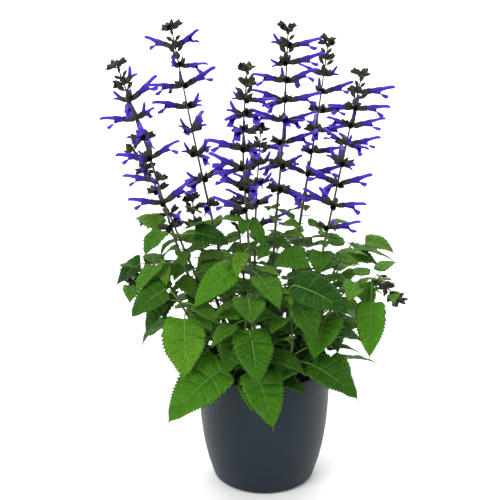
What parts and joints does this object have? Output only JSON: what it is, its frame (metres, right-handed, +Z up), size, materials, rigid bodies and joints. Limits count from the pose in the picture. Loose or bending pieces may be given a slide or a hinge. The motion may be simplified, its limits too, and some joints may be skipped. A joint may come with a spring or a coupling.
{
  "type": "potted sage",
  "caption": "Flowering sage in a round slate-coloured cover pot: upright dark spikes of two-lipped violet-blue flowers over broad toothed green leaves.",
  "frame": {"origin": "centre of the pot's flat foot", "axes": "+Z up out of the pot; the plant's front faces -Y and +X is to its right"},
  "size_m": [0.395, 0.359, 0.6357],
  "materials": {
    "pot": "satin slate blue-grey",
    "soil": "loose dark peat and bark crumbs",
    "stem": "matt green, square, fading to near black",
    "dark_stem": "matt near-black with closed buds",
    "flower": "velvety violet-blue petals in near-black calyces",
    "leaf": "quilted satin green, paler below"
  },
  "bodies": {
    "root": {"bud_stem_dark_left": "dark_stem", "bud_stem_nodding": "dark_stem", "flower_spike_back": "flower", "flower_spike_far_left": "flower", "flower_spike_far_right": "flower", "flower_spike_front": "flower", "flower_spike_left": "flower", "flower_spike_left_branch": "flower", "flower_spike_middle": "flower", "flower_spike_right": "flower", "leaf_back_left_low": "leaf", "leaf_back_left_upper": "leaf", "leaf_back_low": "leaf", "leaf_back_low_upper": "leaf", "leaf_back_right_low": "leaf", "leaf_back_right_upper": "leaf", "leaf_far_left_back": "leaf", "leaf_front_centre": "leaf", "leaf_front_left": "leaf", "leaf_front_node_left": "leaf", "leaf_front_node_right": "leaf", "leaf_front_upper": "leaf", "leaf_front_upper_left": "leaf", "leaf_left_dark": "leaf", "leaf_left_flat": "leaf", "leaf_left_inner": "leaf", "leaf_left_large": "leaf", "leaf_left_long": "leaf", "leaf_left_outer": "leaf", "leaf_low_centre": "leaf", "leaf_low_left_large": "leaf", "leaf_low_right": "leaf", "leaf_middle_left": "leaf", "leaf_right_back": "leaf", "leaf_right_large": "leaf", "leaf_right_low": "leaf", "leaf_right_middle": "leaf", "leaf_right_node": "leaf", "leaf_right_outer": "leaf", "leaf_right_outer_small": "leaf", "leaf_upper_left": "leaf", "pot": "pot", "potting_soil": "soil", "shoot_back_left": "stem", "shoot_back_low": "stem", "shoot_back_right": "stem", "shoot_front_low": "stem", "shoot_front_right": "stem", "shoot_left_low": "stem", "shoot_left_side": "stem", "shoot_right_trailing": "stem", "shoot_right_upper": "stem", "stem_back": "stem", "stem_far_left": "stem", "stem_far_right": "stem", "stem_front": "stem", "stem_left": "stem", "stem_left_branch": "stem", "stem_middle": "stem", "stem_right": "stem"}
  },
  "joints": []
}
